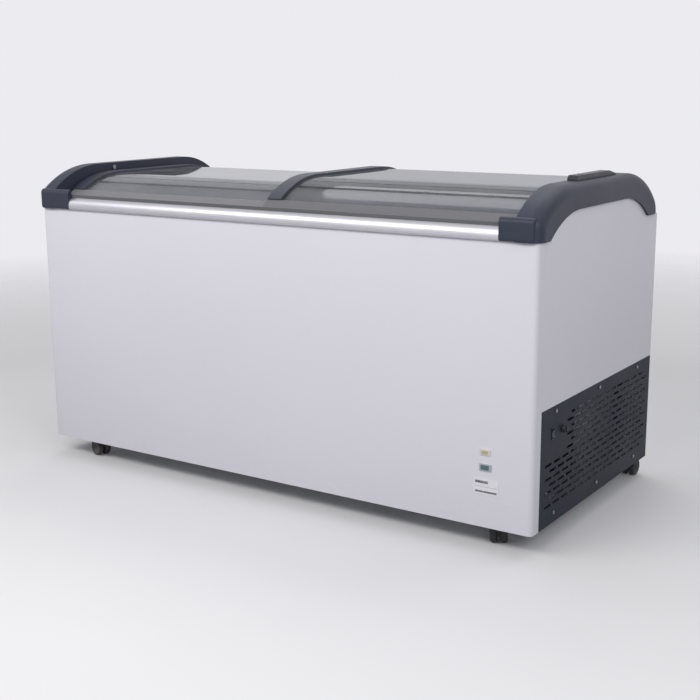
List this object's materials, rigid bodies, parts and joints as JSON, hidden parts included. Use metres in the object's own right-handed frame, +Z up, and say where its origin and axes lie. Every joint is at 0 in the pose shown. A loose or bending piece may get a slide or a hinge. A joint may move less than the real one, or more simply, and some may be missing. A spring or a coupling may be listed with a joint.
{
  "type": "chest freezer",
  "caption": "Curved-top chest freezer with sliding glass lids, arched plastic end caps, bumper rail, louvred machine-bay grille and swivel casters.",
  "frame": {"origin": "on the floor, under the middle of the cabinet's bounding box", "axes": "+X along the cabinet's length to the end with the louvred machine-bay grille, +Y to the rear, +Z up"},
  "size_m": [1.4965, 0.724, 0.821],
  "materials": {
    "white_paint": "satin",
    "galvanised": "satin",
    "liner_sheet": "satin",
    "foam": "matte",
    "cap_plastic": "satin",
    "track_plastic": "satin",
    "rail_aluminium": "satin",
    "lid_glass": "gloss",
    "frame_plastic": "satin",
    "runner_upper": "satin",
    "runner_lower": "satin",
    "grille_paint": "satin",
    "screw_steel": "satin",
    "control_black": "satin",
    "lamp_lens": "gloss",
    "display_lens": "gloss",
    "label_film": "satin",
    "black_enamel": "gloss",
    "copper": "satin",
    "fin_aluminium": "satin",
    "rubber_black": "matte",
    "caster_plastic": "satin",
    "zinc_steel": "satin"
  },
  "bodies": {
    "cabinet": {"front_panel": "white_paint", "left_side_panel": "white_paint", "right_side_panel": "white_paint", "rear_panel": "galvanised", "base_pan": "galvanised", "insulation": "foam", "machine_bay_cover": "galvanised", "liner_front_wall": "liner_sheet", "liner_rear_wall": "liner_sheet", "liner_left_wall": "liner_sheet", "liner_right_wall": "liner_sheet", "liner_floor": "liner_sheet", "liner_step": "liner_sheet", "left_end_cap": "cap_plastic", "right_end_cap": "cap_plastic", "lock_housing": "control_black", "front_bumper_rail": "rail_aluminium", "rear_top_rail": "rail_aluminium", "front_lid_track": "track_plastic", "rear_lid_track": "track_plastic", "breaker_strips": "runner_lower", "side_grille": "grille_paint", "grille_screws": "screw_steel", "thermostat_body": "control_black", "power_switch_housing": "control_black", "cord_inlet_bush": "rubber_black", "indicator_lamp": "lamp_lens", "temperature_display": "display_lens", "rating_label": "label_film", "compressor": "black_enamel", "compressor_feet": "rubber_black", "condenser": "fin_aluminium", "fan_shroud": "zinc_steel", "fan_motor": "black_enamel", "filter_drier": "copper", "refrigerant_pipes": "copper", "caster_plates": "zinc_steel"},
    "upper_lid": {"upper_lid_glass": "lid_glass", "upper_lid_left_frame": "frame_plastic", "upper_lid_right_frame": "frame_plastic", "upper_lid_front_runner": "runner_upper", "upper_lid_rear_runner": "runner_upper"},
    "lower_lid": {"lower_lid_glass": "lid_glass", "lower_lid_left_frame": "frame_plastic", "lower_lid_right_frame": "frame_plastic", "lower_lid_front_runner": "runner_lower", "lower_lid_rear_runner": "runner_lower"},
    "thermostat_dial": {"thermostat_knob": "control_black"},
    "power_rocker": {"power_switch_rocker": "control_black"},
    "left_lock": {"left_lock_barrel": "screw_steel"},
    "right_lock": {"right_lock_barrel": "screw_steel"},
    "fan": {"fan_blade": "caster_plastic"},
    "caster_swivel_fl": {"caster_housing_fl": "caster_plastic"},
    "caster_wheel_fl": {"caster_wheels_fl": "rubber_black"},
    "caster_swivel_fr": {"caster_housing_fr": "caster_plastic"},
    "caster_wheel_fr": {"caster_wheels_fr": "rubber_black"},
    "caster_swivel_rl": {"caster_housing_rl": "caster_plastic"},
    "caster_wheel_rl": {"caster_wheels_rl": "rubber_black"},
    "caster_swivel_rr": {"caster_housing_rr": "caster_plastic"},
    "caster_wheel_rr": {"caster_wheels_rr": "rubber_black"}
  },
  "joints": [
    {"name": "upper_lid_slide", "type": "slide", "parent": "cabinet", "child": "upper_lid", "axis": [-1, 0, 0], "range_m": [0, 0.66]},
    {"name": "lower_lid_slide", "type": "slide", "parent": "cabinet", "child": "lower_lid", "axis": [1, 0, 0], "range_m": [0, 0.645]},
    {"name": "thermostat_turn", "type": "hinge", "parent": "cabinet", "child": "thermostat_dial", "pos_m": [0.74, -0.196, 0.262], "axis": [1, 0, 0], "range_deg": [0, 270]},
    {"name": "power_rock", "type": "hinge", "parent": "cabinet", "child": "power_rocker", "pos_m": [0.737, -0.252, 0.264], "axis": [0, 1, 0], "range_deg": [-14, 0]},
    {"name": "left_lock_turn", "type": "hinge", "parent": "cabinet", "child": "left_lock", "pos_m": [-0.684, -0.126, 0.7945], "axis": [1, 0, 0], "range_deg": [0, 90]},
    {"name": "right_lock_turn", "type": "hinge", "parent": "cabinet", "child": "right_lock", "pos_m": [0.702, -0.06, 0.82], "axis": [0, 0, 1], "range_deg": [0, 90]},
    {"name": "fan_spin", "type": "hinge", "parent": "cabinet", "child": "fan", "pos_m": [0.545, 0.185, 0.172], "axis": [1, 0, 0], "continuous": true},
    {"name": "swivel_fl", "type": "hinge", "parent": "cabinet", "child": "caster_swivel_fl", "pos_m": [-0.6, -0.305, 0.05], "axis": [0, 0, 1], "continuous": true},
    {"name": "wheel_fl", "type": "hinge", "parent": "caster_swivel_fl", "child": "caster_wheel_fl", "pos_m": [-0.61691, -0.29884, 0.023], "axis": [0.342, 0.9397, 0], "continuous": true},
    {"name": "swivel_fr", "type": "hinge", "parent": "cabinet", "child": "caster_swivel_fr", "pos_m": [0.64, -0.308, 0.05], "axis": [0, 0, 1], "continuous": true},
    {"name": "wheel_fr", "type": "hinge", "parent": "caster_swivel_fr", "child": "caster_wheel_fr", "pos_m": [0.63239, -0.29169, 0.023], "axis": [0.9063, 0.4226, 0], "continuous": true},
    {"name": "swivel_rl", "type": "hinge", "parent": "cabinet", "child": "caster_swivel_rl", "pos_m": [-0.6, 0.316, 0.05], "axis": [0, 0, 1], "continuous": true},
    {"name": "wheel_rl", "type": "hinge", "parent": "caster_swivel_rl", "child": "caster_wheel_rl", "pos_m": [-0.6, 0.334, 0.023], "axis": [1, 0, 0], "continuous": true},
    {"name": "swivel_rr", "type": "hinge", "parent": "cabinet", "child": "caster_swivel_rr", "pos_m": [0.704, 0.316, 0.05], "axis": [0, 0, 1], "continuous": true},
    {"name": "wheel_rr", "type": "hinge", "parent": "caster_swivel_rr", "child": "caster_wheel_rr", "pos_m": [0.704, 0.334, 0.023], "axis": [1, 0, 0], "continuous": true}
  ]
}
